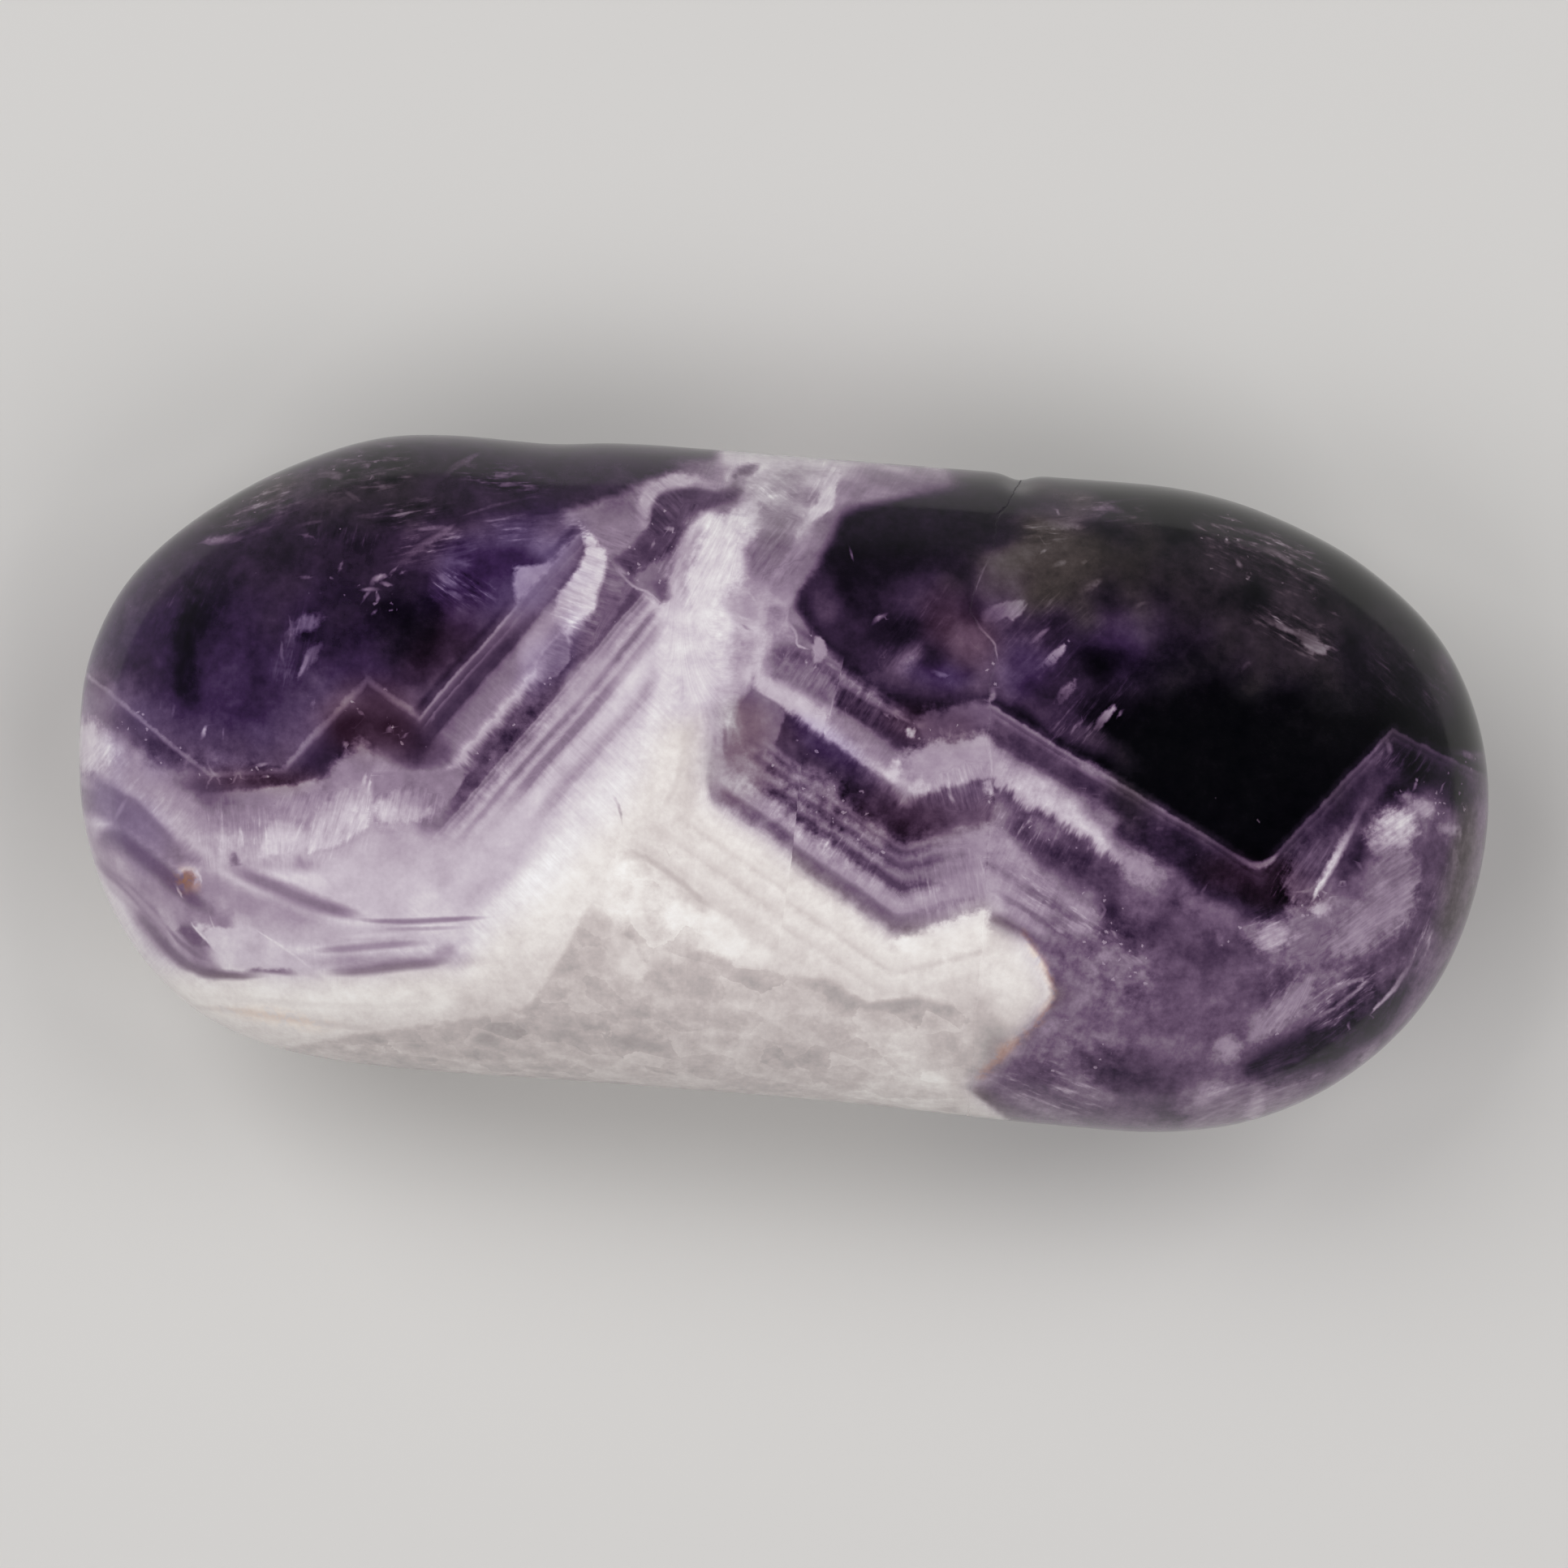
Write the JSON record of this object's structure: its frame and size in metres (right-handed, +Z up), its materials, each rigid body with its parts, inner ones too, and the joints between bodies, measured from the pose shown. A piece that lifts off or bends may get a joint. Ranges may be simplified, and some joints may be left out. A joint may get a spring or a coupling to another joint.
{
  "type": "palm stone",
  "caption": "Long rounded pebble of banded amethyst quartz, polished all over, with full rounded ends and a small flat underneath; it lies on a surface or in the palm.",
  "frame": {"origin": "middle of the underside, on the small ground flat that the stone rests on", "axes": "+X along the stone's length towards its dark smoky end, +Y across it to the side with the open crack, +Z up through its thickness"},
  "size_m": [0.087, 0.04, 0.024],
  "materials": {
    "amethyst": "polished"
  },
  "bodies": {
    "root": {"palm_stone": "amethyst"}
  },
  "joints": []
}
